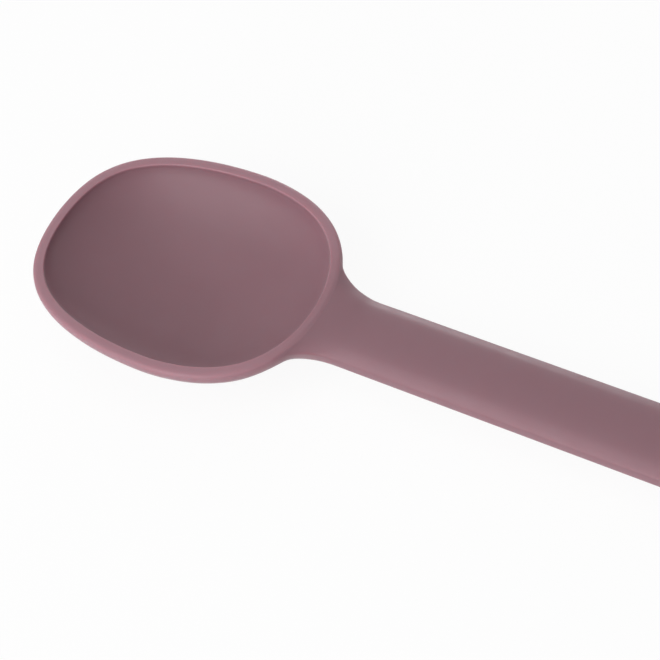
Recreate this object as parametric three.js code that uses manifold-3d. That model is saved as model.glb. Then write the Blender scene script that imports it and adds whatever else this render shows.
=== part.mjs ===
// A cooking spoon: a steel strip and a nylon bowl core, both inside one moulded silicone skin.
// Millimetres, +Z up. The spoon lies at rest: its belly and the underside of its tail touch Z = 0.
import * as THREE from "three";
import { mergeVertices } from "three/addons/utils/BufferGeometryUtils.js";
import Module from "manifold-3d";

const wasm = await Module();
wasm.setup();

// Bowl, seen from above: two half ellipses that meet at the widest station, each made fuller by
// shares of its own reach, along and across the spoon.
const BOWL_WIDTH = 65;
const BOWL_FRONT = 44.2; // widest station to the tip
const BOWL_BACK = 36.6; // widest station to the neck
const FRONT_FULL_ALONG = 0.244;
const FRONT_FULL_ACROSS = 0.014;
const BACK_FULL_ALONG = 0.073;
const BACK_FULL_ACROSS = 0.084;

// Bowl, in section.
const BOWL_DEPTH = 19; // rim to the outside of the belly
const WALL_FULLNESS = 1.75; // 2 makes the wall a quarter ellipse, less makes it lean in
const BOWL_FLOOR = 3.4; // wall at the belly
const RIM_WIDTH = 3; // flat land round the mouth
const RIM_OUTER_ROUND = 1.1;
const RIM_INNER_ROUND = 0.5;

// Handle and neck. Heights are below the plane of the rim.
const SPOON_LENGTH = 280;
const HANDLE_WIDTH = 19.9;
const HANDLE_THICKNESS = 8.5;
const HANDLE_DROP = 1; // crown of the handle
const NECK_DROP = 0.35; // crown of the neck where it leaves the rim
const HANDLE_SQUARENESS = 2.5;
const TAIL_ROUND = 10.2; // length of the rounded end
const NECK_RADIUS = 17; // concave side of the neck, seen from above
const NECK_UNDER_RADIUS = 16; // concave underside of the neck, seen from the side
const NECK_ROOT_SQUARENESS = 2;
const NECK_INSIDE = 5; // how far the neck runs on into the bowl's body

// Hanging hole, near the tail.
const HANG_HOLE = 8;
const HANG_HOLE_INSET = 13; // centre of the hole to the end of the handle

// Stiffening strip of the handle.
const STRIP_WIDTH = 10;
const STRIP_THICKNESS = 2;
const STRIP_START = 6; // neck end of the bowl to the front of the strip
const STRIP_EYE_WALL = 2.6; // steel round the hanging hole
const STRIP_PEG_HOLE = 4;
const STRIP_PEG_PITCH = 10;
const STRIP_FLOW_HOLE = 4.5;
const STRIP_FLOW_COUNT = 5;

// Core of the bowl, with the tongue that holds the strip.
const SKIN = 1.05; // silicone over each face of the bowl core
const LIP = 6; // bare silicone between the rim and the core's edge
const FLOW_HOLE = 5;
const FLOW_RING = 0.5; // share of the core's outline on which its flow holes lie
const FLOW_COUNT = 8;
const TONGUE_WIDTH = 13.6;
const TONGUE_THICKNESS = 5;
const TONGUE_LENGTH = 34; // from the neck end of the bowl

// Fit between the moulded pieces, and the flat where the belly and tail rest.
const FIT = 0.3;
const FOOT_FLAT = 0.35;

// Fineness of the meshes.
const COLUMNS = 48;
const FINE_COLUMNS = 720; // for finding where the neck's arcs touch the bowl
const WALL_RINGS = 9;
const ROUND_STEPS = 3;
const SECTION_POINTS = 28;
const NECK_STATIONS = 9;
const HANDLE_STATIONS = 4;
const TAIL_STATIONS = 7;
const HOLE_SIDES = 20;

// Places that follow from the sizes above.
const HANDLE_END = SPOON_LENGTH - BOWL_FRONT;
const HANDLE_TOP = -HANDLE_DROP;
const HANDLE_MIDDLE = HANDLE_TOP - HANDLE_THICKNESS / 2;
const HANDLE_UNDER = HANDLE_TOP - HANDLE_THICKNESS;
const TAIL_START = HANDLE_END - TAIL_ROUND;
const HOLE_X = HANDLE_END - HANG_HOLE_INSET;
const INNER_DEPTH = BOWL_DEPTH - BOWL_FLOOR;
const ABOVE = 20; // how far cutting tools stand clear of the spoon

const SILICONE = new THREE.MeshStandardMaterial({ color: 0x94727b, roughness: 0.55, metalness: 0 });
const NYLON = new THREE.MeshStandardMaterial({ color: 0x4a4648, roughness: 0.6, metalness: 0 });
const STEEL = new THREE.MeshStandardMaterial({ color: 0xb4b4b2, roughness: 0.35, metalness: 1 });

// A closed geometry as a solid that can be joined and cut.
function solidOf(geometry) {
  const bare = new THREE.BufferGeometry().setAttribute("position", geometry.getAttribute("position"));
  if (geometry.index) bare.setIndex(geometry.index);
  const merged = mergeVertices(bare, 1e-4);
  return new wasm.Manifold(
    new wasm.Mesh({
      numProp: 3,
      vertProperties: new Float32Array(merged.attributes.position.array),
      triVerts: new Uint32Array(merged.index.array),
    }),
  );
}

// A solid's surface as a geometry.
function geometryOf(solid) {
  const mesh = solid.getMesh();
  const geometry = new THREE.BufferGeometry();
  geometry.setAttribute("position", new THREE.BufferAttribute(mesh.vertProperties, 3));
  geometry.setIndex(new THREE.BufferAttribute(mesh.triVerts, 1));
  geometry.computeVertexNormals();
  return geometry;
}

// A closed skin over rings of points, each ring turning the same way, with both ends capped.
function loft(rings) {
  const size = rings[0].length;
  const points = rings.flat();
  const faces = [];
  for (let r = 0; r + 1 < rings.length; r++) {
    for (let i = 0; i < size; i++) {
      const next = (i + 1) % size;
      const [a, b] = [r * size + i, r * size + next];
      const [c, d] = [a + size, b + size];
      faces.push(a, b, d, a, d, c);
    }
  }
  const cap = (ring, offset, turn) => {
    const middle = ring.reduce((sum, p) => sum.add(p), new THREE.Vector3()).divideScalar(size);
    points.push(middle);
    for (let i = 0; i < size; i++) {
      const edge = [offset + i, offset + ((i + 1) % size)];
      faces.push(points.length - 1, edge[turn], edge[1 - turn]);
    }
  };
  cap(rings[0], 0, 1);
  cap(rings.at(-1), size * (rings.length - 1), 0);
  const geometry = new THREE.BufferGeometry().setFromPoints(points);
  geometry.setIndex(faces);
  return geometry;
}

// A signed power, which squares up a cosine or a sine.
const squared = (value, squareness) => Math.sign(value) * Math.abs(value) ** (2 / squareness);

// The bowl's outline from above, moved inwards by an inset, as points round the +Z axis.
function outline(inset, columns = COLUMNS) {
  const half = BOWL_WIDTH / 2;
  return Array.from({ length: columns }, (_, i) => {
    const turn = (2 * Math.PI * i) / columns;
    const cos = Math.cos(turn);
    const sin = Math.sin(turn);
    const back = cos > 0;
    const reach = back ? BOWL_BACK : BOWL_FRONT;
    const along = back ? BACK_FULL_ALONG : FRONT_FULL_ALONG;
    const across = back ? BACK_FULL_ACROSS : FRONT_FULL_ACROSS;
    const at = new THREE.Vector2(reach * cos * (1 + along * sin ** 2), half * sin * (1 + across * cos ** 2));
    const outwards = new THREE.Vector2(
      half * cos * (1 + across * cos ** 2 - 2 * across * sin ** 2),
      reach * sin * (1 + along * sin ** 2 - 2 * along * cos ** 2),
    ).normalize();
    return at.addScaledVector(outwards, -inset);
  });
}

// One level ring of the bowl: its outline at an inset, drawn in by a share, at a height.
const ring = (inset, share, z) => outline(inset).map((p) => new THREE.Vector3(p.x * share, p.y * share, z));

// Rings of a bowl-shaped dome from its lowest point up to a height.
function domeRings(inset, depth, top) {
  const leastShare = 0.02;
  return Array.from({ length: WALL_RINGS }, (_, i) => {
    const climb = (Math.PI / 2) * (1 - i / (WALL_RINGS - 1));
    const share = Math.max(squared(Math.cos(climb), WALL_FULLNESS), leastShare);
    return ring(inset, share, top - (depth + top) * squared(Math.sin(climb), WALL_FULLNESS));
  });
}

// The bowl as a filled body, with the outer edge of its rim rounded.
function bowlBody() {
  const rings = domeRings(0, BOWL_DEPTH, -RIM_OUTER_ROUND);
  for (let i = 1; i <= ROUND_STEPS; i++) {
    const turn = (Math.PI / 2) * (i / ROUND_STEPS);
    rings.push(ring(RIM_OUTER_ROUND * (1 - Math.cos(turn)), 1, RIM_OUTER_ROUND * (Math.sin(turn) - 1)));
  }
  return solidOf(loft(rings));
}

// The space inside the bowl, with the inner edge of the rim rounded, open upwards.
function bowlHollow() {
  const rings = domeRings(RIM_WIDTH, INNER_DEPTH, -RIM_INNER_ROUND);
  for (let i = 1; i <= ROUND_STEPS; i++) {
    const turn = (Math.PI / 2) * (i / ROUND_STEPS);
    const inset = RIM_WIDTH - RIM_INNER_ROUND * (1 - Math.cos(turn));
    rings.push(ring(inset, 1, RIM_INNER_ROUND * (Math.sin(turn) - 1)));
  }
  rings.push(ring(RIM_WIDTH - RIM_INNER_ROUND, 1, ABOVE));
  return solidOf(loft(rings));
}

// A concave arc between the handle's straight side, at an offset, and a bulging curve of the bowl:
// where it leaves the handle, and where it meets the bowl.
function concaveArc(curve, offset, radius) {
  const middle = new THREE.Vector2(BOWL_BACK + radius, offset + radius);
  const closer = (a, b) => (a.distanceTo(middle) < b.distanceTo(middle) ? a : b);
  const nearest = () => curve.reduce(closer);
  const step = 0.05;
  while (nearest().distanceTo(middle) > radius) middle.x -= step;
  return { offset, radius, leaves: middle.x, meets: nearest() };
}

// How far the neck reaches from the spoon's axis along such an arc, at a station along the spoon.
function arcReach(arc, x) {
  const along = Math.min(Math.max(arc.leaves - x, 0), arc.leaves - arc.meets.x);
  return arc.offset + arc.radius - Math.sqrt(arc.radius ** 2 - along ** 2);
}

const SIDE_ARC = concaveArc(
  outline(0, FINE_COLUMNS).filter((p) => p.x > 0 && p.y > 0),
  HANDLE_WIDTH / 2,
  NECK_RADIUS,
);
const UNDER_ARC = concaveArc(
  Array.from({ length: FINE_COLUMNS }, (_, i) => {
    const climb = (Math.PI / 2) * (i / FINE_COLUMNS);
    const fall = (BOWL_DEPTH - RIM_OUTER_ROUND) * squared(Math.sin(climb), WALL_FULLNESS);
    return new THREE.Vector2(BOWL_BACK * squared(Math.cos(climb), WALL_FULLNESS), RIM_OUTER_ROUND + fall);
  }),
  -HANDLE_UNDER,
  NECK_UNDER_RADIUS,
);

// One cross-section of the neck or handle, widest at its waist. A share draws in its top and underside.
function section(x, half, { top, under, waist, squareness, share }) {
  return Array.from({ length: SECTION_POINTS }, (_, i) => {
    const turn = (2 * Math.PI * i) / SECTION_POINTS;
    const reach = Math.sin(turn) > 0 ? top - waist : waist - under;
    return new THREE.Vector3(
      x,
      half * squared(Math.cos(turn), squareness),
      waist + reach * share * squared(Math.sin(turn), squareness),
    );
  });
}

// The neck and handle as one filled body, from inside the bowl's back wall to the rounded tail.
function handleBody() {
  const straight = {
    top: HANDLE_TOP,
    under: HANDLE_UNDER,
    waist: HANDLE_MIDDLE,
    squareness: HANDLE_SQUARENESS,
    share: 1,
  };
  const root = Math.min(SIDE_ARC.meets.x, UNDER_ARC.meets.x) - NECK_INSIDE;
  const leaves = Math.max(SIDE_ARC.leaves, UNDER_ARC.leaves);
  const rings = [];
  for (let i = 0; i <= NECK_STATIONS; i++) {
    const x = THREE.MathUtils.lerp(root, leaves, i / NECK_STATIONS);
    const blend = THREE.MathUtils.clamp(THREE.MathUtils.inverseLerp(SIDE_ARC.meets.x, leaves, x), 0, 1);
    rings.push(
      section(x, arcReach(SIDE_ARC, x), {
        top: THREE.MathUtils.lerp(-NECK_DROP, HANDLE_TOP, blend),
        under: -arcReach(UNDER_ARC, x),
        waist: THREE.MathUtils.lerp(-NECK_DROP - RIM_OUTER_ROUND, HANDLE_MIDDLE, blend),
        squareness: THREE.MathUtils.lerp(NECK_ROOT_SQUARENESS, HANDLE_SQUARENESS, blend),
        share: 1,
      }),
    );
  }
  for (let i = 1; i <= HANDLE_STATIONS; i++) {
    const x = THREE.MathUtils.lerp(leaves, TAIL_START, i / HANDLE_STATIONS);
    rings.push(section(x, HANDLE_WIDTH / 2, straight));
  }
  const blunt = 0.4;
  const nearlyClosed = 0.985;
  for (let i = 1; i <= TAIL_STATIONS; i++) {
    const turn = (Math.PI / 2) * (i / TAIL_STATIONS) * nearlyClosed;
    const x = TAIL_START + TAIL_ROUND * Math.sin(turn);
    const share = Math.cos(turn) ** blunt;
    rings.push(section(x, (HANDLE_WIDTH / 2) * Math.cos(turn), { ...straight, share }));
  }
  return solidOf(loft(rings));
}

// An upright round tool for a hole.
function drill(x, y, radius) {
  const geometry = new THREE.CylinderGeometry(radius, radius, 2 * (BOWL_DEPTH + ABOVE), HOLE_SIDES);
  return solidOf(geometry.rotateX(Math.PI / 2).translate(x, y, 0));
}

// A box between two corners.
function block(low, high) {
  const size = new THREE.Vector3().subVectors(high, low);
  const middle = new THREE.Vector3().addVectors(low, high).multiplyScalar(0.5);
  return solidOf(new THREE.BoxGeometry(size.x, size.y, size.z).translate(middle.x, middle.y, middle.z));
}

const STRIP_FRONT = BOWL_BACK + STRIP_START;
const TONGUE_FRONT = BOWL_BACK + TONGUE_LENGTH;
const PEGS = [0, 1].map((i) => STRIP_FRONT + STRIP_WIDTH / 2 + i * STRIP_PEG_PITCH);

// Steel strip, or the room for it when grown: round front, eye round the hanging hole, holes through it.
function strip(grown) {
  const half = STRIP_WIDTH / 2;
  const eye = HANG_HOLE / 2 + STRIP_EYE_WALL;
  const into = Math.asin((half + grown) / (eye + grown));
  const shape = new THREE.Shape();
  shape.absarc(STRIP_FRONT + half, 0, half + grown, Math.PI / 2, (3 * Math.PI) / 2, false);
  shape.absarc(HOLE_X, 0, eye + grown, Math.PI + into, 3 * Math.PI - into, false);
  shape.closePath();
  const thickness = STRIP_THICKNESS + 2 * grown;
  const rise = { depth: thickness, bevelEnabled: false, curveSegments: HOLE_SIDES };
  const plate = new THREE.ExtrudeGeometry(shape, rise);
  let made = solidOf(plate.translate(0, 0, HANDLE_MIDDLE - thickness / 2));
  for (const x of PEGS) made = made.subtract(drill(x, 0, STRIP_PEG_HOLE / 2 - grown));
  const first = TONGUE_FRONT + STRIP_WIDTH;
  const last = HOLE_X - eye - STRIP_WIDTH;
  for (let i = 0; i < STRIP_FLOW_COUNT; i++) {
    const x = THREE.MathUtils.lerp(first, last, i / (STRIP_FLOW_COUNT - 1));
    made = made.subtract(drill(x, 0, STRIP_FLOW_HOLE / 2 - grown));
  }
  return made.subtract(drill(HOLE_X, 0, HANG_HOLE / 2 - grown));
}

// Nylon core of the bowl, or the room for it when grown: a pierced dish, and the tongue for the strip.
function bowlCore(grown) {
  const dish = solidOf(loft(domeRings(SKIN - grown, BOWL_DEPTH - SKIN + grown, 0)));
  const inside = solidOf(loft(domeRings(RIM_WIDTH - SKIN + grown, INNER_DEPTH + SKIN - grown, 0)));
  const belowLip = block(
    new THREE.Vector3(-BOWL_FRONT, -BOWL_WIDTH, -BOWL_DEPTH - ABOVE),
    new THREE.Vector3(BOWL_BACK, BOWL_WIDTH, -LIP + grown),
  );
  const side = TONGUE_WIDTH / 2 + grown;
  const rise = TONGUE_THICKNESS / 2 + grown;
  const tongue = block(
    new THREE.Vector3(0, -side, HANDLE_MIDDLE - rise),
    new THREE.Vector3(TONGUE_FRONT + grown, side, HANDLE_MIDDLE + rise),
  );
  let made = dish.intersect(belowLip).add(tongue).subtract(inside);
  for (let i = 0; i < FLOW_COUNT; i++) {
    const place = outline(RIM_WIDTH)[Math.round(((i + 0.5) * COLUMNS) / FLOW_COUNT)];
    made = made.subtract(drill(place.x * FLOW_RING, place.y * FLOW_RING, FLOW_HOLE / 2 - grown));
  }
  return made;
}

// The rest pose: the line under the spoon that touches the belly and the start of the rounded tail.
function restPose() {
  const depth = BOWL_DEPTH - RIM_OUTER_ROUND;
  const dual = WALL_FULLNESS / (WALL_FULLNESS - 1);
  const belly = (slope) => ((slope * BOWL_BACK) ** dual + depth ** dual) ** (1 / dual);
  const closeEnough = 12;
  let slope = 0;
  for (let i = 0; i < closeEnough; i++) {
    slope = (HANDLE_UNDER + RIM_OUTER_ROUND + belly(slope)) / TAIL_START;
  }
  const tilt = Math.atan(slope);
  const height = (slope * TAIL_START - HANDLE_UNDER) * Math.cos(tilt) - FOOT_FLAT;
  return { tilt, height };
}

// Everything below the floor of the rest pose, in the spoon's own frame.
function floor(pose) {
  const under = new THREE.BoxGeometry(2 * SPOON_LENGTH, 2 * BOWL_WIDTH, ABOVE).translate(0, 0, -ABOVE / 2);
  return solidOf(under.translate(0, 0, -pose.height).rotateY(-pose.tilt));
}

const pose = restPose();
const bowlCoreSolid = bowlCore(0).subtract(strip(FIT));
const skinSolid = bowlBody()
  .add(handleBody())
  .subtract(bowlHollow())
  .subtract(floor(pose))
  .subtract(bowlCore(FIT))
  .subtract(strip(FIT))
  .subtract(drill(HOLE_X, 0, HANG_HOLE / 2));

function piece(name, solid, material) {
  const mesh = new THREE.Mesh(geometryOf(solid), material);
  mesh.name = name;
  return mesh;
}

const spoon = new THREE.Group();
spoon.add(piece("silicone_skin", skinSolid, SILICONE));
spoon.add(piece("bowl_core", bowlCoreSolid, NYLON));
spoon.add(piece("handle_strip", strip(0), STEEL));
spoon.rotation.y = pose.tilt;
spoon.position.z = pose.height;

const cookingSpoon = new THREE.Group();
cookingSpoon.add(spoon);
cookingSpoon.updateMatrixWorld(true);
spoon.position.x = -new THREE.Box3().setFromObject(cookingSpoon, true).getCenter(new THREE.Vector3()).x;

export default cookingSpoon;
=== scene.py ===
"""A cooking spoon of moulded silicone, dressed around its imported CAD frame.

The silicone is modelled as one quad cage for a subdivision surface: the bowl's hollow, its flat
rim, the outer wall, the neck and the handle are rings of vertices that grow out of each other.
All sizes are in millimetres in the spoon's own frame, whose origin is at the bowl's widest station
in the plane of the rim, with +X to the handle's end and +Z out of the bowl's mouth. The rest pose
turns that frame into the row frame.
"""

import logging
import math
from collections.abc import Callable
from dataclasses import dataclass, field
from enum import Enum

import bmesh
import bpy
from mathutils import Matrix, Vector


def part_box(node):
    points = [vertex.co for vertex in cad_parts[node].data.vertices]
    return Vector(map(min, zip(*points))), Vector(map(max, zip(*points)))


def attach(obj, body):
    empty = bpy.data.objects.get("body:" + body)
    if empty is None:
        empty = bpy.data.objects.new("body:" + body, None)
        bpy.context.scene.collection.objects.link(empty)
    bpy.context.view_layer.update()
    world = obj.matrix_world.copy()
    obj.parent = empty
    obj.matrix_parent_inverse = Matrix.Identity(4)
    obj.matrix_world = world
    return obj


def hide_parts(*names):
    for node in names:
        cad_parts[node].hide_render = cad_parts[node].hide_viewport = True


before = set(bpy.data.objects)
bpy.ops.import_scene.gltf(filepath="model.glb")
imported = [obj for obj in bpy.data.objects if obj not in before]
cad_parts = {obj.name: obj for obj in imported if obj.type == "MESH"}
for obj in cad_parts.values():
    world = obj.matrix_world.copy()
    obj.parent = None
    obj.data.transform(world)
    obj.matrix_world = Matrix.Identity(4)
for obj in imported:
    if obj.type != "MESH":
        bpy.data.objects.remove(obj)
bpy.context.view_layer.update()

MM = 0.001
FULL_TURN = 2 * math.pi
HALVINGS = 40  # of an angle's range, which find it to the last digit
POSE_ROUNDS = 12  # in which the spoon's slope and its lowest point settle
NEARLY_ONE = 0.999
MIX_A, MIX_B, MIX_RESULT = 6, 7, 2  # a Mix node's sockets for colours: two inputs and the output
# the attribute that carries the share of painted glow, a paler colour painted on the bowl's lip
PAINTED_GLOW_ATTRIBUTE = "painted_glow"
Ring = list[bmesh.types.BMVert]
log = logging.getLogger("cooking_spoon")


class Slot(Enum):
    """The record's material slots."""

    SILICONE = "silicone"
    NYLON = "nylon"
    STEEL = "steel"


class Piece(Enum):
    """The CAD nodes of the spoon."""

    SKIN = "silicone_skin"
    CORE = "bowl_core"
    STRIP = "handle_strip"


def linear(hex_colour: str) -> tuple[float, float, float, float]:
    """Turn an sRGB hex colour into linear light, by the curve of the sRGB standard.

    Args:
        hex_colour: six hex digits after a hash sign.

    Returns:
        Linear red, green and blue, and an alpha of 1.
    """
    channels = [int(hex_colour[i:i + 2], 16) / 255 for i in (1, 3, 5)]
    red, green, blue = [
        c / 12.92 if c <= 0.04045 else ((c + 0.055) / 1.055) ** 2.4 for c in channels]
    return red, green, blue, 1.0


def add_node(
    tree: bpy.types.NodeTree,
    kind: str,
    settings: dict[str | int, object] | None = None,
    **links: bpy.types.NodeSocket,
) -> bpy.types.Node:
    """Add one node to a tree.

    Args:
        tree: the node tree that takes the node.
        kind: Blender's name of the node's type.
        settings: attributes by name, and values of input sockets by the socket's name or number.
        links: output sockets by the input socket's name, in which _ stands for a space.

    Returns:
        The new node.
    """
    node = tree.nodes.new(kind)
    for name, value in (settings or {}).items():
        if isinstance(name, str) and hasattr(node, name):
            setattr(node, name, value)
        else:
            node.inputs[name].default_value = value
    for name, socket in links.items():
        tree.links.new(socket, node.inputs[name.replace("_", " ")])
    return node


def new_material(name: str) -> tuple[bpy.types.Material, bpy.types.NodeTree]:
    """Make an empty node material.

    Args:
        name: the material's name.

    Returns:
        The material and its node tree.
    """
    material = bpy.data.materials.new(name)
    material.use_nodes = True
    material.node_tree.nodes.clear()
    return material, material.node_tree


def per_metre(size_mm: float) -> float:
    """Scale of a pattern with features of a size in millimetres, on coordinates in metres."""
    return 1.0 / (size_mm * MM)


@dataclass(frozen=True)
class SiliconeFinish:
    """Pigmented platinum silicone, compression-moulded in a finely blasted tool.

    To the eye it is a soft, even, almost dry mauve: broad dull highlights, a pale bloom where the
    surface turns away, and no grain until it is seen from very near.
    """

    base: str = "#8F6A73"
    cloud: str = "#8B666F"
    # painted light: the paler, pinker colour painted on the lip, as if light shone through it
    painted_glow_colour: str = "#A27A84"
    ior: float = 1.41
    roughness_low: float = 0.44
    roughness_high: float = 0.52
    sheen: float = 0.35
    sheen_roughness: float = 0.3
    scatter: float = 0.6
    scatter_mm: float = 3.0
    scatter_reach: tuple[float, float, float] = (1.0, 0.4, 0.4)  # red light goes furthest
    cloud_mm: float = 26.0
    cloud_detail: float = 3.0
    wear_mm: float = 7.0
    wear_detail: float = 4.0
    wear_low: float = 0.3  # the part of the noise's range that is spread over the roughness
    wear_high: float = 0.7
    grain_mm: float = 0.35
    grain_detail: float = 2.0
    grain_depth_mm: float = 0.010
    grain_strength: float = 0.35

    def material(self) -> bpy.types.Material:
        """Build the material with its clouded pigment, painted glow on the lip, uneven dryness and
        blasted grain.

        Returns:
            The material, which reads the painted glow attribute of the piece that wears it.
        """
        material, tree = new_material("silicone_moulded_mauve")
        place = add_node(tree, "ShaderNodeTexCoord").outputs["Object"]
        clouds = add_node(
            tree, "ShaderNodeTexNoise",
            {"Scale": per_metre(self.cloud_mm), "Detail": self.cloud_detail}, Vector=place)
        colour = add_node(
            tree, "ShaderNodeMix",
            {"data_type": "RGBA", MIX_A: linear(self.base), MIX_B: linear(self.cloud)},
            Factor=clouds.outputs["Fac"])
        # Painted light: the bare lip of the bowl, where no core backs it, is painted paler and
        # pinker, to stand in for light that comes through it.
        painted_glow = add_node(tree, "ShaderNodeAttribute", {"attribute_name": PAINTED_GLOW_ATTRIBUTE})
        painted_glow_mix = add_node(
            tree, "ShaderNodeMix", {"data_type": "RGBA", MIX_B: linear(self.painted_glow_colour)},
            Factor=painted_glow.outputs["Fac"])
        tree.links.new(colour.outputs[MIX_RESULT], painted_glow_mix.inputs[MIX_A])
        dryness = add_node(
            tree, "ShaderNodeTexNoise",
            {"Scale": per_metre(self.wear_mm), "Detail": self.wear_detail}, Vector=place)
        roughness = add_node(
            tree, "ShaderNodeMapRange",
            {"From Min": self.wear_low, "From Max": self.wear_high,
             "To Min": self.roughness_low, "To Max": self.roughness_high},
            Value=dryness.outputs["Fac"])
        # The blasted grain is finer than a pixel, so it is drawn coarser than the real 0.05 mm.
        grain = add_node(
            tree, "ShaderNodeTexNoise",
            {"Scale": per_metre(self.grain_mm), "Detail": self.grain_detail}, Vector=place)
        bump = add_node(
            tree, "ShaderNodeBump",
            {"Strength": self.grain_strength, "Distance": self.grain_depth_mm * MM},
            Height=grain.outputs["Fac"])
        shader = add_node(
            tree, "ShaderNodeBsdfPrincipled",
            {"IOR": self.ior, "Sheen Weight": self.sheen, "Sheen Roughness": self.sheen_roughness,
             "Subsurface Weight": self.scatter, "Subsurface Radius": self.scatter_reach,
             "Subsurface Scale": self.scatter_mm * MM},
            Base_Color=painted_glow_mix.outputs[MIX_RESULT], Roughness=roughness.outputs["Result"],
            Normal=bump.outputs["Normal"])
        add_node(tree, "ShaderNodeOutputMaterial", Surface=shader.outputs["BSDF"])
        return material


@dataclass(frozen=True)
class NylonFinish:
    """Glass-filled nylon, injection-moulded.

    To the eye it is dark grey and dull, with pale flecks of fibre near the surface.
    """

    base: str = "#4A4648"
    fleck: str = "#5B5759"
    ior: float = 1.53
    roughness: float = 0.6
    fleck_mm: float = 0.8
    fleck_detail: float = 5.0
    fleck_low: float = 0.52  # the part of the noise's range that goes from bare to fleck
    fleck_high: float = 0.7
    texture_mm: float = 0.3
    texture_depth_mm: float = 0.02
    texture_strength: float = 0.4

    def material(self) -> bpy.types.Material:
        """Build the material with its flecks and its spark-eroded texture.

        Returns:
            The material.
        """
        material, tree = new_material("nylon_glass_filled")
        place = add_node(tree, "ShaderNodeTexCoord").outputs["Object"]
        flecks = add_node(
            tree, "ShaderNodeTexNoise",
            {"Scale": per_metre(self.fleck_mm), "Detail": self.fleck_detail}, Vector=place)
        sharp = add_node(
            tree, "ShaderNodeMapRange",
            {"From Min": self.fleck_low, "From Max": self.fleck_high},
            Value=flecks.outputs["Fac"])
        colour = add_node(
            tree, "ShaderNodeMix",
            {"data_type": "RGBA", MIX_A: linear(self.base), MIX_B: linear(self.fleck)},
            Factor=sharp.outputs["Result"])
        texture = add_node(
            tree, "ShaderNodeTexVoronoi", {"Scale": per_metre(self.texture_mm)}, Vector=place)
        bump = add_node(
            tree, "ShaderNodeBump",
            {"Strength": self.texture_strength, "Distance": self.texture_depth_mm * MM},
            Height=texture.outputs["Distance"])
        shader = add_node(
            tree, "ShaderNodeBsdfPrincipled", {"IOR": self.ior, "Roughness": self.roughness},
            Base_Color=colour.outputs[MIX_RESULT], Normal=bump.outputs["Normal"])
        add_node(tree, "ShaderNodeOutputMaterial", Surface=shader.outputs["BSDF"])
        return material


@dataclass(frozen=True)
class SteelFinish:
    """Stainless steel strip, rolled and linished along its length before it is punched.

    To the eye it is a soft grey metal with fine lines that run along it.
    """

    base: str = "#B9B8B5"
    tarnish: str = "#A8A6A2"
    roughness_low: float = 0.28
    roughness_high: float = 0.44
    line_mm: float = 0.25
    line_length_mm: float = 14.0
    line_detail: float = 3.0
    line_depth_mm: float = 0.006
    line_strength: float = 0.5

    def material(self) -> bpy.types.Material:
        """Build the material with linished lines that run along the strip.

        Returns:
            The material.
        """
        material, tree = new_material("steel_linished")
        place = add_node(tree, "ShaderNodeTexCoord").outputs["Object"]
        stretch = self.line_mm / self.line_length_mm
        along = add_node(tree, "ShaderNodeMapping", {"Scale": (stretch, 1.0, 1.0)}, Vector=place)
        lines = add_node(
            tree, "ShaderNodeTexNoise",
            {"Scale": per_metre(self.line_mm), "Detail": self.line_detail},
            Vector=along.outputs["Vector"])
        colour = add_node(
            tree, "ShaderNodeMix",
            {"data_type": "RGBA", MIX_A: linear(self.base), MIX_B: linear(self.tarnish)},
            Factor=lines.outputs["Fac"])
        roughness = add_node(
            tree, "ShaderNodeMapRange",
            {"To Min": self.roughness_low, "To Max": self.roughness_high},
            Value=lines.outputs["Fac"])
        bump = add_node(
            tree, "ShaderNodeBump",
            {"Strength": self.line_strength, "Distance": self.line_depth_mm * MM},
            Height=lines.outputs["Fac"])
        shader = add_node(
            tree, "ShaderNodeBsdfPrincipled", {"Metallic": 1.0},
            Base_Color=colour.outputs[MIX_RESULT], Roughness=roughness.outputs["Result"],
            Normal=bump.outputs["Normal"])
        add_node(tree, "ShaderNodeOutputMaterial", Surface=shader.outputs["BSDF"])
        return material


def squared(value: float, squareness: float) -> float:
    """Raise a cosine or sine to the power that squares up a superellipse, keeping its sign."""
    return math.copysign(abs(value) ** (2 / squareness), value)


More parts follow.
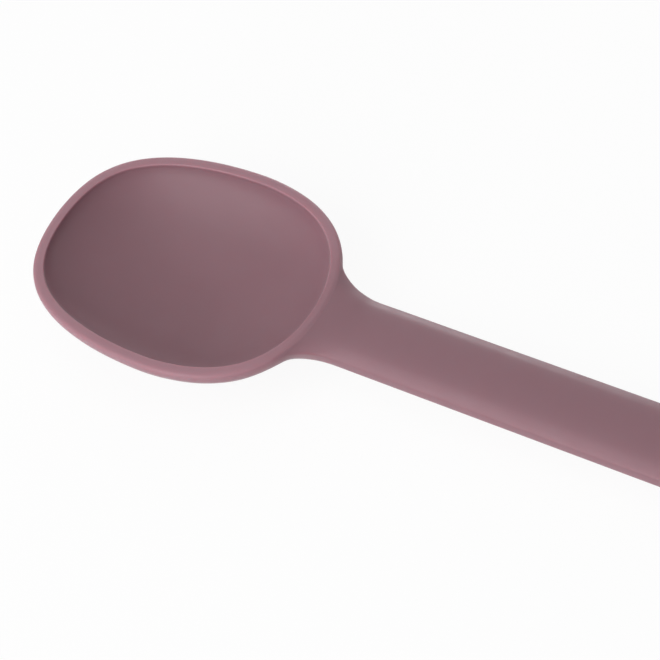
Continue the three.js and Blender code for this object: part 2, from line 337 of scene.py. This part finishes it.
@dataclass(frozen=True)
class Bowl:
    """The bowl's outline from above, two half ellipses made fuller, and its wall in section."""

    width: float = 65.0
    front: float = 44.2  # from the widest station to the tip
    back: float = 36.6  # from the widest station to the neck's end of the bowl
    front_full: tuple[float, float] = (0.244, 0.014)  # along and across, as shares of the reach
    back_full: tuple[float, float] = (0.073, 0.084)
    depth: float = 19.0
    fullness: float = 1.75  # 2 makes the wall a quarter ellipse, less makes it lean in
    floor: float = 3.4  # thickness at the bottom
    rim_width: float = 3.0
    outer_round: float = 1.1
    inner_round: float = 0.5

    def outline(self, turn: float, inset: float = 0.0) -> Vector:
        """Find a point of the outline.

        Args:
            turn: the angle round +Z, from the neck.
            inset: how far the point is moved inwards, square to the outline.

        Returns:
            The point, at the height of the rim.
        """
        cos, sin, half = math.cos(turn), math.sin(turn), self.width / 2
        reach, (along, across) = (
            (self.back, self.back_full) if cos > 0 else (self.front, self.front_full))
        at = Vector((
            reach * cos * (1 + along * sin ** 2),
            half * sin * (1 + across * cos ** 2),
            0,
        ))
        outwards = Vector((
            half * cos * (1 + across * cos ** 2 - 2 * across * sin ** 2),
            reach * sin * (1 + along * sin ** 2 - 2 * along * cos ** 2),
            0,
        ))
        return at - inset * outwards.normalized()

    def wall(self, turn: float, inset: float, share: float, z: float) -> Vector:
        """A point of a level ring: the outline at an inset, drawn in by a share, at a height."""
        at = self.outline(turn, inset) * share
        return Vector((at.x, at.y, z))

    def other(self, share: float) -> float:
        """The other of the two shares, width and fall, that belong to one point of the wall."""
        return (1 - min(max(share, 0), 1) ** self.fullness) ** (1 / self.fullness)

    def height_outside(self, share: float) -> float:
        """Height of the outer wall where the outline is drawn in by a share."""
        return -self.outer_round - (self.depth - self.outer_round) * self.other(share)

    def height_inside(self, share: float) -> float:
        """Height of the hollow's wall where the outline is drawn in by a share."""
        inner_depth = self.depth - self.floor
        return -self.inner_round - (inner_depth - self.inner_round) * self.other(share)

    def share_outside(self, z: float) -> float:
        """How far the outline of the outer wall is drawn in at a height."""
        return self.other((-z - self.outer_round) / (self.depth - self.outer_round))

    def back_of_wall(self, y: float, z: float) -> float:
        """Find how far back the outer wall reaches.

        Args:
            y: the distance from the spoon's axis.
            z: the height.

        Returns:
            The station of the wall's surface, found by halving the angle's range.
        """
        share = self.share_outside(z)
        low, high = 0.0, math.pi / 2
        for _ in range(HALVINGS):
            turn = (low + high) / 2
            low, high = (turn, high) if self.outline(turn).y * share < abs(y) else (low, turn)
        return self.outline(low).x * share


@dataclass(frozen=True)
class Handle:
    """The handle's section and length, its rounded tail and its hanging hole."""

    end: float = 235.8
    width: float = 19.9
    thickness: float = 8.5
    drop: float = 1.0  # of its top below the rim
    squareness: float = 2.5  # 2 makes the section an ellipse, more squares it up
    tail_round: float = 10.2
    blunt: float = 0.4  # below 1 the tail thins later than it narrows
    neck_end: float = 46.0
    hole: float = 8.0
    hole_inset: float = 13.0

    @property
    def tail_start(self) -> float:
        """Where the rounded tail begins."""
        return self.end - self.tail_round

    @property
    def hole_x(self) -> float:
        """Middle of the hanging hole."""
        return self.end - self.hole_inset

    @property
    def middle(self) -> float:
        """Height at which the handle is widest."""
        return -self.drop - self.thickness / 2

    def section(self, x: float, turn: float) -> Vector:
        """Find a point of the handle's surface.

        Args:
            x: the station along the spoon.
            turn: the angle round the section, from its +Y side upwards.

        Returns:
            The point.
        """
        into_tail = min(max((x - self.tail_start) / self.tail_round, 0), 1)
        narrowing = math.sqrt(1 - into_tail ** 2)
        out = self.width / 2 * narrowing
        rise = self.thickness / 2 * narrowing ** self.blunt
        return Vector((
            x,
            out * squared(math.cos(turn), self.squareness),
            self.middle + rise * squared(math.sin(turn), self.squareness),
        ))


@dataclass(frozen=True)
class RestPose:
    """How the spoon lies: on its belly and on the underside of its tail, both a bit flattened."""

    tilt: float
    height: float
    shift: float
    foot_flat: float = 0.35

    @classmethod
    def of(cls, bowl: Bowl, handle: Handle) -> "RestPose":
        """Work out the rest pose.

        Args:
            bowl: the bowl that rests on its belly.
            handle: the handle that rests on its tail.

        Returns:
            The pose whose floor touches the belly and the start of the rounded tail.
        """
        under = -handle.drop - handle.thickness
        start = handle.tail_start
        depth = bowl.depth - bowl.outer_round
        dual = bowl.fullness / (bowl.fullness - 1)
        slope = 0.0
        for _ in range(POSE_ROUNDS):
            belly = ((slope * bowl.back) ** dual + depth ** dual) ** (1 / dual)
            slope = (under + bowl.outer_round + belly) / start
        tilt = math.atan(slope)
        height = (slope * start - under) * math.cos(tilt) - cls.foot_flat
        lowest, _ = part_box(Piece.SKIN.value)
        return cls(tilt, height, lowest.x / MM + bowl.front * math.cos(tilt))

    def matrix(self) -> Matrix:
        """From the spoon's own frame in millimetres to the row frame in metres."""
        place = Matrix.Translation((self.shift * MM, 0, self.height * MM))
        return place @ Matrix.Rotation(self.tilt, 4, "Y") @ Matrix.Scale(MM, 4)


def edges_round(bm: bmesh.types.BMesh, ring: Ring) -> list[bmesh.types.BMEdge]:
    """The edges of a closed ring of vertices, in order."""
    return [bm.edges.get(pair) for pair in zip(ring, ring[1:] + ring[:1])]


def extend(bm: bmesh.types.BMesh, ring: Ring, places: list[Vector]) -> Ring:
    """Grow a band of quads from a closed ring of vertices.

    Args:
        bm: the mesh.
        ring: the vertices of the ring, in order.
        places: where the vertices of the next ring go, in the same order.

    Returns:
        The vertices of the next ring, in order.
    """
    grown = bmesh.ops.extrude_edge_only(bm, edges=edges_round(bm, ring))["geom"]
    fresh = {item for item in grown if isinstance(item, bmesh.types.BMVert)}
    following = []
    for vert, place in zip(ring, places):
        beside = [edge.other_vert(vert) for edge in vert.link_edges]
        after = next(other for other in beside if other in fresh)
        after.co = place
        following.append(after)
    return following


def draw_out(bm: bmesh.types.BMesh, passes: int = 8) -> None:
    """Move a quad cage so that its subdivision surface passes through the points it was given.

    Args:
        bm: the closed cage.
        passes: how many times the remaining distance is added.
    """
    bm.verts.ensure_lookup_table()
    wanted = [vert.co.copy() for vert in bm.verts]
    for _ in range(passes):
        reached = []
        for vert in bm.verts:
            count = len(vert.link_edges)
            beside = sum((edge.other_vert(vert).co for edge in vert.link_edges), Vector())
            across = Vector()
            for loop in vert.link_loops:
                across += loop.link_loop_next.link_loop_next.vert.co
            # Where a vertex of a quad cage ends up under endless Catmull-Clark subdivision.
            reached.append((count ** 2 * vert.co + 4 * beside + across) / (count * (count + 5)))
        for vert, want, reach in zip(bm.verts, wanted, reached):
            vert.co += want - reach


@dataclass
class SiliconeSkin:
    """The silicone moulding: hollow, rim, wall, neck and handle in one unbroken surface."""

    bowl: Bowl
    handle: Handle
    pose: RestPose
    finish: SiliconeFinish = field(default_factory=SiliconeFinish)
    levels: int = 3
    # The bowl's cage. The bends of the rim are shares of its rounds, into the rim and down.
    squares: int = 8
    cap_share: float = 0.58
    hollow_shares: tuple[float, ...] = (0.72, 0.84, 0.925, 0.975, 0.996)
    below_round: float = 0.25
    inner_bends: tuple[tuple[float, float], ...] = ((0.10, 0.5), (0.45, 0.08))
    rim_crown: float = 0.03
    outer_bends: tuple[tuple[float, float], ...] = ((0.42, 0.17), (0.0, 1.05))
    wall_heights: tuple[float, ...] = (-5.0, -10.8)
    belly_share: float = 0.70
    # The painted glow on the bare lip, which is painted paler as if light shone through it.
    painted_glow_inside: float = 0.6  # depths over which it fades
    painted_glow_outside: float = 5.0
    painted_glow_free: float = 42.0  # degrees from the neck at which the lip is bare and its painted glow full
    painted_glow_at_neck: float = 0.4
    # The neck's cage.
    neck_columns: int = 3  # at each side of the middle
    side_turn: float = 8.0  # degrees from the widest line to the two columns beside it
    neck_shares: tuple[float, ...] = (0.1, 0.28, 0.52, 0.76, 1.0)  # rings along the neck's top
    neck_lead: float = 0.45  # how far the same rings run ahead at the neck's sides
    neck_crown: float = 0.85
    neck_ease: float = 0.12  # how far its corner is cut at the top
    ease_slope: float = 3.0  # how fast that changes towards the underside
    ease_under: float = -1.5  # and what it becomes there, as a share of the top's
    # The handle's cage: stations of its rings, also from the hole's middle and along the tail.
    stations: tuple[float, ...] = (52.0, 64.0, 90.0, 125.0, 160.0, 185.0)
    hole_stations: tuple[float, ...] = (-18.0, -10.5, -4.6, 0.0, 4.6)
    tail_shares: tuple[float, ...] = (0.42, 0.68, 0.86, 0.955)
    dome_powers: tuple[int, int] = (2, 4)  # across, and up, where the end is blunter
    # The hanging hole: its rings stand off the CAD bore, at heights from the handle's middle.
    hole_columns: int = 8
    hole_band: float = 0.6
    hole_mouth: float = 0.75
    hole_rings: tuple[tuple[float, float], ...] = ((0.05, 3.55), (-0.15, 2.5))

    def disc(self, u: float, v: float) -> tuple[float, float]:
        """Turn a point of the square from -1 to 1 into a share of the outline and an angle."""
        x, y = u * math.sqrt(1 - v * v / 2), v * math.sqrt(1 - u * u / 2)
        return math.hypot(x, y), math.atan2(y, x)

    def cap(self, bm: bmesh.types.BMesh, inset: float, height: Callable[[float], float]) -> Ring:
        """Lay the patch of squares at the bottom of the bowl.

        Args:
            bm: the mesh.
            inset: how far the outline is moved inwards.
            height: the method that gives the wall's height at a share of the outline.

        Returns:
            The vertices round the patch, in order from the neck.
        """
        count = self.squares
        made = bmesh.ops.create_grid(bm, x_segments=count, y_segments=count, size=1.0)["verts"]
        turns = {}
        for vert in made:
            edge = max(abs(vert.co.x), abs(vert.co.y)) > NEARLY_ONE
            share, turn = self.disc(vert.co.x, vert.co.y)
            share *= self.cap_share
            vert.co = self.bowl.wall(turn, inset, share, height(share))
            if edge:
                turns[vert] = turn % FULL_TURN
        return sorted(turns, key=turns.get)

    def turns(self) -> list[float]:
        """Work out the columns round the bowl, which go on from the squares of its patches.

        Returns:
            The columns' angles, in order from the neck.
        """
        side = [i * 2 / self.squares - 1 for i in range(self.squares)]
        square = [(1, v) for v in side] + [(-u, 1) for u in side]
        square += [(-1, -v) for v in side] + [(u, -1) for u in side]
        return sorted(self.disc(u, v)[1] % FULL_TURN for u, v in square)

    def painted_glow(self, inset: float, turn: float, z: float) -> float:
        """Find how much painted glow, the paler colour of the bare lip, a place of the bowl gets.

        Args:
            inset: how far the place's ring is moved inwards.
            turn: the angle round +Z, from the neck.
            z: the place's height.

        Returns:
            The share of painted glow: 1 on the rim, less below it, and 0 where the core or the
                neck backs the silicone.
        """
        depth = self.painted_glow_inside if inset >= self.bowl.rim_width else self.painted_glow_outside
        from_neck = abs((turn + math.pi) % FULL_TURN - math.pi) / math.radians(self.painted_glow_free)
        painted_glow_share = self.painted_glow_at_neck + (1 - self.painted_glow_at_neck) * min(from_neck, 1) ** 2
        return max(1 + z / depth, 0) * painted_glow_share

    def bowl_rings(self) -> list[tuple[float, float, float]]:
        """Lay out the rings from the hollow's bottom over the rim to the belly.

        Returns:
            Each ring's inset, the share by which it is drawn in, and its height.
        """
        bowl = self.bowl
        width, inner, outer = bowl.rim_width, bowl.inner_round, bowl.outer_round
        rings = [(width, share, bowl.height_inside(share)) for share in self.hollow_shares]
        rings.append((width, 1.0, -inner - self.below_round))
        rings += [(width - into * inner, 1.0, -down * inner) for into, down in self.inner_bends]
        rings += [
            (width - inner, 1.0, 0.0),
            ((width - inner + outer) / 2, 1.0, self.rim_crown),
            (outer, 1.0, 0.0),
        ]
        rings += [(into * outer, 1.0, -down * outer) for into, down in self.outer_bends]
        rings += [(0.0, bowl.share_outside(z), z) for z in self.wall_heights]
        rings.append((0.0, self.belly_share, bowl.height_outside(self.belly_share)))
        return rings

    def build_bowl(self, bm: bmesh.types.BMesh) -> list[Ring]:
        """Grow the bowl from the bottom of its hollow, over the rim, to the belly.

        Args:
            bm: the mesh.

        Returns:
            The rings that the neck leaves from: the rim's outer round and the wall below it.
        """
        turns = self.turns()
        ring = self.cap(bm, self.bowl.rim_width, self.bowl.height_inside)
        rings = []
        painted_glow = bm.verts.layers.float[PAINTED_GLOW_ATTRIBUTE]
        for inset, share, z in self.bowl_rings():
            ring = extend(bm, ring, [self.bowl.wall(turn, inset, share, z) for turn in turns])
            rings.append(ring)
            # Painted light: each ring of the bowl gets its share of the painted glow.
            for vert, turn in zip(ring, turns):
                vert[painted_glow] = self.painted_glow(inset, turn, z)
        belly = self.cap(bm, 0.0, self.bowl.height_outside)
        bmesh.ops.bridge_loops(bm, edges=edges_round(bm, ring) + edges_round(bm, belly))
        outside = len(self.outer_bends) + len(self.wall_heights)
        return rings[-1 - outside:-1]

    def neck_root(self, bm: bmesh.types.BMesh, rings: list[Ring]) -> Ring:
        """Open the back of the outer wall where the neck leaves it.

        Args:
            bm: the mesh.
            rings: the wall's rings from the top of the neck, down its side, to its underside.

        Returns:
            The vertices round the opening: along the top, down the +Y side, back underneath.
        """
        top, *sides, under = rings
        count = self.neck_columns
        across = list(range(-count, count + 1))
        inside = [ring[i] for ring in sides for i in across[1:-1]]
        bmesh.ops.delete(bm, geom=inside, context="VERTS")
        down, up = [ring[count] for ring in sides], [ring[-count] for ring in reversed(sides)]
        return [top[i] for i in across] + down + [under[-i] for i in across] + up

    def section_turns(self) -> list[float]:
        """Work out the columns round the handle's section.

        Returns:
            The columns' angles, in the order of the opening in the wall.
        """
        step = math.pi / (2 * self.neck_columns + 2)
        top = [math.pi - step * (i + 1) for i in range(2 * self.neck_columns + 1)]
        side = [math.radians(self.side_turn), math.radians(-self.side_turn)]
        under = [-turn for turn in reversed(top)]
        return top + side + under + [-math.pi - turn for turn in reversed(side)]

    def top_and_under(self, ring: Ring) -> tuple[Ring, Ring]:
        """The columns of a handle's ring along its top and its underside, two apart at a side."""
        count = 2 * self.neck_columns + 1
        return ring[:count], ring[count + 2:2 * count + 2]

    def neck_place(self, start: Vector, turn: float, at_top: float) -> Vector:
        """Find a point of the neck, on the curve from the bowl's wall to the straight handle.

        Args:
            start: where the curve leaves the wall.
            turn: the angle round the handle's section at which it ends.
            at_top: how far along its ring lies at the neck's top, from 0 to 1.

        Returns:
            The point.
        """
        share = at_top ** (1 - self.neck_lead * math.cos(turn) ** 2)
        end = self.handle.section(self.handle.neck_end, turn)
        corner = Vector((self.bowl.back_of_wall(end.y, end.z), end.y, end.z))
        corner.z += self.neck_crown * max(math.sin(turn), 0) * (start.z - end.z)
        ease = self.neck_ease * min(max(self.ease_slope * math.sin(turn), self.ease_under), 1)
        corner = corner.lerp((start + end) / 2, ease)
        return (1 - share) ** 2 * start + 2 * share * (1 - share) * corner + share ** 2 * end

    def build_handle(self, bm: bmesh.types.BMesh, root: Ring) -> list[Ring]:
        """Grow the neck and the handle out of the bowl's back wall, and close the tail.

        Args:
            bm: the mesh.
            root: the vertices round the opening in the wall.

        Returns:
            The rings of the handle, those round the hanging hole among them.
        """
        handle = self.handle
        turns = self.section_turns()
        starts = [vert.co.copy() for vert in root]
        painted_glow = bm.verts.layers.float[PAINTED_GLOW_ATTRIBUTE]
        ring = root
        for at_top in self.neck_shares:
            places = [self.neck_place(start, turn, at_top) for start, turn in zip(starts, turns)]
            ring = extend(bm, ring, places)
            # The neck gets no painted glow.
            for vert in ring:
                vert[painted_glow] = 0.0
        stations = list(self.stations)
        stations += [handle.hole_x + beside for beside in self.hole_stations]
        stations += [handle.tail_start + handle.tail_round * share for share in self.tail_shares]
        rings = []
        for x in stations:
            ring = extend(bm, ring, [handle.section(x, turn) for turn in turns])
            rings.append(ring)
        self.close_tail(bm, ring)
        return rings

    def close_tail(self, bm: bmesh.types.BMesh, ring: Ring) -> None:
        """Close the handle's end with a domed patch of squares.

        Args:
            bm: the mesh.
            ring: the handle's last ring.
        """
        handle = self.handle
        sides = self.top_and_under(ring)
        ends = [bm.edges.get(pair) for side in sides for pair in zip(side, side[1:])]
        patch = bmesh.ops.grid_fill(bm, edges=ends)["faces"]
        start = ring[0].co.x
        half = max(vert.co.y for vert in ring)
        rise = max(vert.co.z for vert in ring) - handle.middle
        across, up = self.dome_powers
        for vert in {vert for face in patch for vert in face.verts} - set(ring):
            out = (vert.co.y / half) ** across + ((vert.co.z - handle.middle) / rise) ** up
            vert.co.x = handle.end - (handle.end - start) * min(out, 1)

    def pierce(self, bm: bmesh.types.BMesh, rings: list[Ring]) -> None:
        """Open the hanging hole through the handle, with a rounded edge.

        Args:
            bm: the mesh.
            rings: the handle's rings.
        """
        handle = self.handle
        centre = min(rings, key=lambda ring: abs(ring[0].co.x - handle.hole_x))
        step = FULL_TURN / self.hole_columns
        drawn = (4 + 2 * math.cos(step)) / 6  # subdivision draws an even ring in by this share

        def place(turn: float, spread: float, z: float) -> Vector:
            """A point round the hole, whose smooth ring stands off the CAD bore by the spread."""
            out = (handle.hole / 2 + spread) / drawn
            return Vector((handle.hole_x + out * math.cos(turn), out * math.sin(turn), z))

        mouths = []
        for side, up in zip(self.top_and_under(centre), (1, -1)):
            middle = side[self.neck_columns]
            bmesh.ops.inset_region(
                bm, faces=list(middle.link_faces), thickness=self.hole_band, use_even_offset=True)
            mouth = self.ordered_mouth(middle)
            bmesh.ops.delete(bm, geom=[middle], context="VERTS")
            angles = [math.atan2(vert.co.y, vert.co.x - handle.hole_x) for vert in mouth]
            turns = [step * round(angle / step) for angle in angles]
            for vert, turn in zip(mouth, turns):
                vert.co = place(turn, self.hole_mouth, vert.co.z)
            for spread, rise in self.hole_rings:
                z = handle.middle + up * rise
                mouth = extend(bm, mouth, [place(turn, spread, z) for turn in turns])
            mouths.append(mouth)
        edges = [edge for mouth in mouths for edge in edges_round(bm, mouth)]
        bmesh.ops.bridge_loops(bm, edges=edges)

    def ordered_mouth(self, centre: bmesh.types.BMVert) -> Ring:
        """The vertices of the four faces round a vertex, in order round it."""
        around = {vert for face in centre.link_faces for vert in face.verts} - {centre}
        return sorted(around, key=lambda v: math.atan2(v.co.y - centre.co.y, v.co.x - centre.co.x))

    def build(self) -> bpy.types.Object:
        """Make the whole moulding.

        Returns:
            The smooth silicone piece, in the row frame.
        """
        bm = bmesh.new()
        # A layer for each vertex's share of the painted glow.
        bm.verts.layers.float.new(PAINTED_GLOW_ATTRIBUTE)
        root = self.neck_root(bm, self.build_bowl(bm))
        rings = self.build_handle(bm, root)
        draw_out(bm)
        self.pierce(bm, rings)
        bmesh.ops.recalc_face_normals(bm, faces=bm.faces)
        bmesh.ops.transform(bm, matrix=self.pose.matrix(), verts=bm.verts)
        for vert in bm.verts:
            vert.co.z = max(vert.co.z, 0.0)  # the flats on which the spoon lies
        for face in bm.faces:
            face.smooth = True
        mesh = bpy.data.meshes.new("silicone_moulding")
        bm.to_mesh(mesh)
        bm.free()
        piece = bpy.data.objects.new("silicone_moulding", mesh)
        bpy.context.scene.collection.objects.link(piece)
        smooth = piece.modifiers.new("smooth", "SUBSURF")
        smooth.levels = smooth.render_levels = self.levels
        piece.data.materials.append(self.finish.material())
        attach(piece, "root")
        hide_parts(Piece.SKIN.value)
        return piece


@dataclass
class Stiffener:
    """The nylon bowl core and the steel strip in the silicone, which keep their CAD shapes."""

    nylon: NylonFinish = field(default_factory=NylonFinish)
    steel: SteelFinish = field(default_factory=SteelFinish)

    def dress(self) -> dict[Slot, bpy.types.Object]:
        """Give both pieces their materials.

        Returns:
            The two pieces, by the material slot that the record gives them.
        """
        pieces = {
            Slot.NYLON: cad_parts[Piece.CORE.value],
            Slot.STEEL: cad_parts[Piece.STRIP.value],
        }
        for node, finish in zip(pieces.values(), (self.nylon, self.steel)):
            node.data.materials.clear()
            node.data.materials.append(finish.material())
        return pieces


@dataclass(frozen=True)
class Lamp:
    """A square soft box that faces the spoon, with its place and size in metres."""

    name: str
    place: tuple[float, float, float]
    size: float
    level: float


@dataclass
class Studio:
    """A white table in soft light, seen by the camera that took the picture."""

    pixels: int = 660
    focal_pixels: float = 2000.0
    sensor: float = 36.0  # in millimetres
    clip: tuple[float, float] = (0.01, 50.0)  # in metres
    eye: tuple[float, float, float] = (222.09, -228.81, 394.97)
    target: tuple[float, float, float] = (40.66, -4.57, 0.0)
    roll: float = -13.02  # in degrees
    floor_size: float = 6.0  # in metres
    floor_white: str = "#FAFAFA"
    floor_glow: float = 0.92  # how much of the table is seen as plain white
    ambient: float = 0.32
    lamps: tuple[Lamp, ...] = (
        Lamp("overhead", (-0.1, 0.0, 0.6), 0.4, 0.13),
        Lamp("front_high", (-0.4, -0.95, 0.9), 1.1, 0.56),
        Lamp("front_low", (-0.1, -1.3, 0.18), 0.32, 0.31),
        Lamp("back_left", (-0.9, 0.9, 0.6), 1.1, 0.09),
        Lamp("back_low", (-0.5, 1.3, 0.165), 0.3, 0.18),
        Lamp("back_right", (0.9, 1.0, 0.2), 0.32, 0.06),
    )

    def camera(self, pose: RestPose) -> None:
        """Stand the camera where the photograph was taken from.

        Args:
            pose: the spoon's rest pose, in whose frame the eye and the target are given.
        """
        data = bpy.data.cameras.new("camera")
        data.sensor_width = self.sensor
        data.lens = self.focal_pixels / self.pixels * data.sensor_width
        data.clip_start, data.clip_end = self.clip
        camera = bpy.data.objects.new("camera", data)
        eye, target = Vector(self.eye), Vector(self.target)
        level = (target - eye).to_track_quat("-Z", "Y").to_matrix().to_4x4()
        rolled = level @ Matrix.Rotation(math.radians(self.roll), 4, "Z")
        place = pose.matrix() @ Matrix.Translation(eye) @ rolled
        camera.matrix_world = Matrix.LocRotScale(
            place.to_translation(), place.to_quaternion(), None)
        bpy.context.scene.collection.objects.link(camera)
        bpy.context.scene.camera = camera

    def seen(self, tree: bpy.types.NodeTree) -> bpy.types.NodeSocket:
        """Add nodes that tell whether a surface is seen or only lights the others.

        Args:
            tree: the node tree that takes the nodes.

        Returns:
            A socket with 1 where it is seen, mirrored or looked through, and 0 where it lights.
        """
        path = add_node(tree, "ShaderNodeLightPath")
        mirrored = add_node(
            tree, "ShaderNodeMath", {"operation": "MAXIMUM"}, Value=path.outputs["Is Camera Ray"])
        tree.links.new(path.outputs["Is Glossy Ray"], mirrored.inputs[1])
        through = add_node(
            tree, "ShaderNodeMath", {"operation": "MAXIMUM"}, Value=mirrored.outputs[0])
        tree.links.new(path.outputs["Is Transmission Ray"], through.inputs[1])
        return through.outputs[0]

    def floor(self) -> None:
        """Lay a white table that keeps a soft shadow."""
        bm = bmesh.new()
        bmesh.ops.create_grid(bm, x_segments=1, y_segments=1, size=self.floor_size / 2)
        mesh = bpy.data.meshes.new("table")
        bm.to_mesh(mesh)
        bm.free()
        table = bpy.data.objects.new("table", mesh)
        bpy.context.scene.collection.objects.link(table)
        material, tree = new_material("table_white")
        share = add_node(
            tree, "ShaderNodeMath", {"operation": "MULTIPLY", 1: self.floor_glow},
            Value=self.seen(tree))
        matt = add_node(tree, "ShaderNodeBsdfDiffuse", {"Color": linear(self.floor_white)})
        white = add_node(tree, "ShaderNodeEmission", {"Strength": 1.0})
        mix = add_node(tree, "ShaderNodeMixShader", Fac=share.outputs[0])
        tree.links.new(matt.outputs[0], mix.inputs[1])
        tree.links.new(white.outputs[0], mix.inputs[2])
        add_node(tree, "ShaderNodeOutputMaterial", Surface=mix.outputs[0])
        mesh.materials.append(material)

    def tent(self) -> None:
        """Surround the table with even white light."""
        world = bpy.data.worlds.new("tent")
        world.use_nodes = True
        tree = world.node_tree
        tree.nodes.clear()
        strength = add_node(
            tree, "ShaderNodeMapRange", {"To Min": self.ambient, "To Max": 1.0},
            Value=self.seen(tree))
        white = add_node(
            tree, "ShaderNodeBackground", {"Color": (1, 1, 1, 1)},
            Strength=strength.outputs["Result"])
        add_node(tree, "ShaderNodeOutputWorld", Surface=white.outputs["Background"])
        bpy.context.scene.world = world

    def shine(self, lamp: Lamp) -> None:
        """Hang one lamp.

        Args:
            lamp: its place, its size and the level that it gives a white surface that faces it.
        """
        away = Vector(lamp.place)
        data = bpy.data.lights.new(lamp.name, "AREA")
        data.shape = "SQUARE"
        data.size = lamp.size
        # At a metre, a lamp of pi squared watts gives such a surface a level of 1.
        data.energy = lamp.level * math.pi ** 2 * away.length_squared
        held = bpy.data.objects.new(lamp.name, data)
        facing = (-away).to_track_quat("-Z", "Y").to_matrix().to_4x4()
        held.matrix_world = Matrix.Translation(away) @ facing
        bpy.context.scene.collection.objects.link(held)

    def build(self, pose: RestPose) -> None:
        """Set up the camera, the table, the light and the plain view transform.

        Args:
            pose: the spoon's rest pose.
        """
        self.camera(pose)
        self.floor()
        self.tent()
        for lamp in self.lamps:
            self.shine(lamp)
        bpy.context.scene.view_settings.view_transform = "Standard"


def main() -> None:
    """Build the studio and the spoon, and report each piece."""
    logging.basicConfig(level=logging.INFO, format="%(name)s: %(message)s")
    bowl, handle = Bowl(), Handle()
    pose = RestPose.of(bowl, handle)
    Studio().build(pose)
    degrees = math.degrees(pose.tilt)
    log.info("rest pose: %.2f degrees, rim %.2f mm above the table", degrees, pose.height)
    skin = SiliconeSkin(bowl, handle, pose).build()
    log.info("%s: %d faces in its cage", skin.name, len(skin.data.polygons))
    for slot, node in Stiffener().dress().items():
        finish = node.data.materials[0].name
        log.info("%s: slot %s, dressed in %s", node.name, slot.value, finish)


if __name__ == "__main__":
    main()
